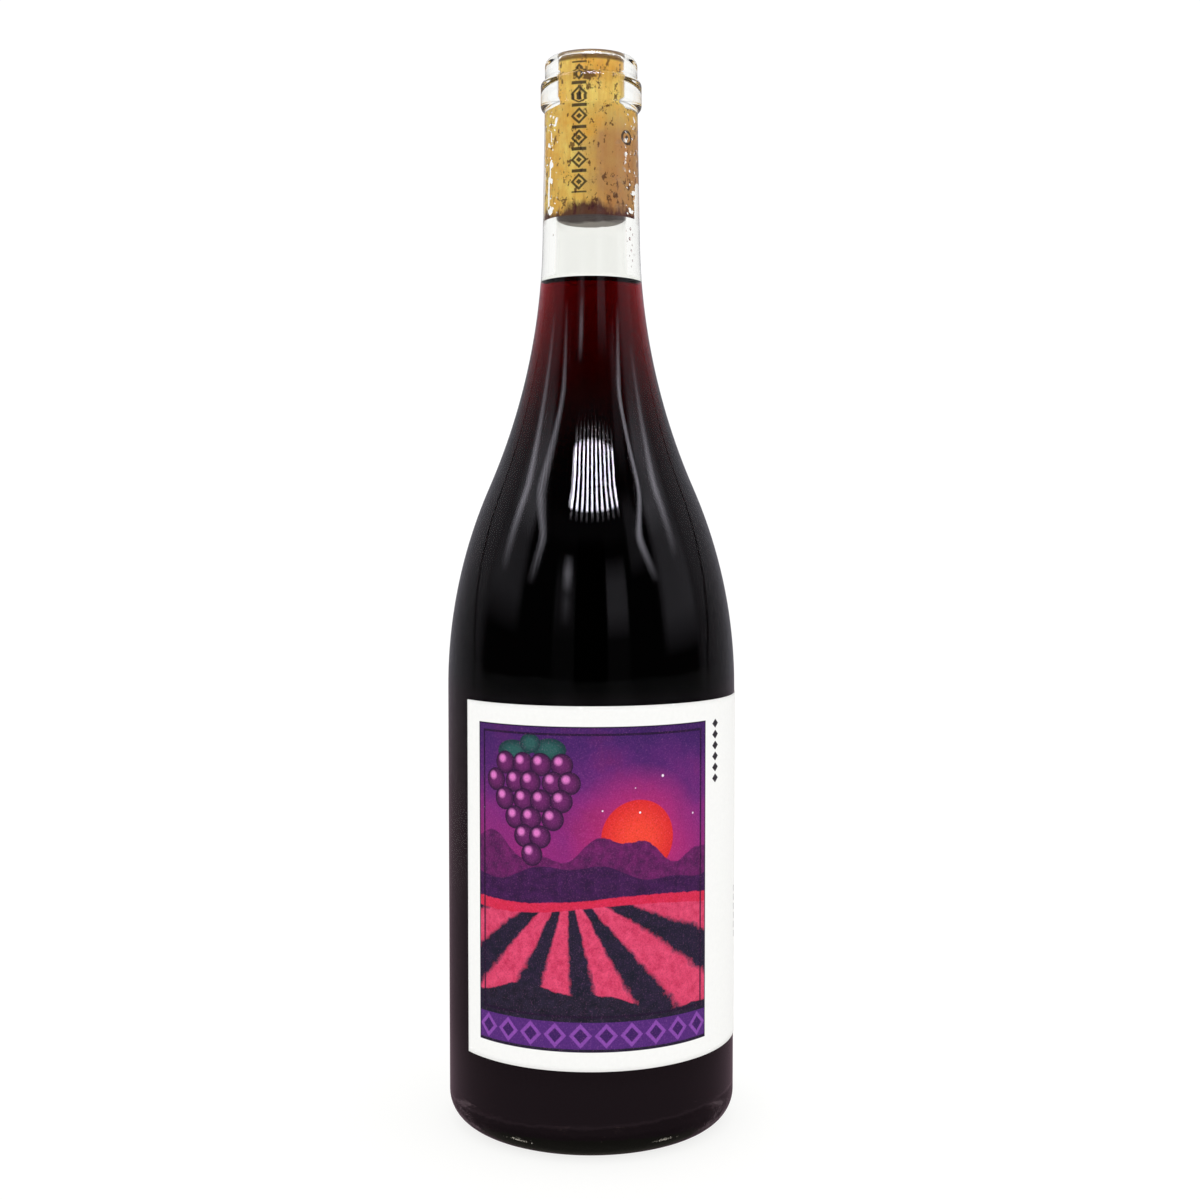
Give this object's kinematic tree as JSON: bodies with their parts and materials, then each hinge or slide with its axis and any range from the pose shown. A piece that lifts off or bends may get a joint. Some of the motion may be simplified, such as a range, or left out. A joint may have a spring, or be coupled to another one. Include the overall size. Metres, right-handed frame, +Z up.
{
  "type": "wine bottle",
  "caption": "Clear glass wine bottle with sloping shoulders, full of red wine, shut by a natural cork, with a paper label wrapped round its body.",
  "frame": {"origin": "centre of the circle that the bottle stands on, level with the surface under it", "axes": "+Z up along the bottle's axis; the printed face of the label looks along -Y; +X is to the right of someone who faces it"},
  "size_m": [0.0819, 0.0822, 0.3],
  "materials": {
    "glass": "clear, polished, very faintly green",
    "wine": "clear liquid, deep red, nearly black where it is thick",
    "cork": "natural cork, matt, pitted, wine-stained at its lower end",
    "label": "matt white paper with a colour-printed panel"
  },
  "bodies": {
    "root": {"glass_bottle": "glass", "wine": "wine", "cork": "cork", "label": "label"}
  },
  "joints": []
}
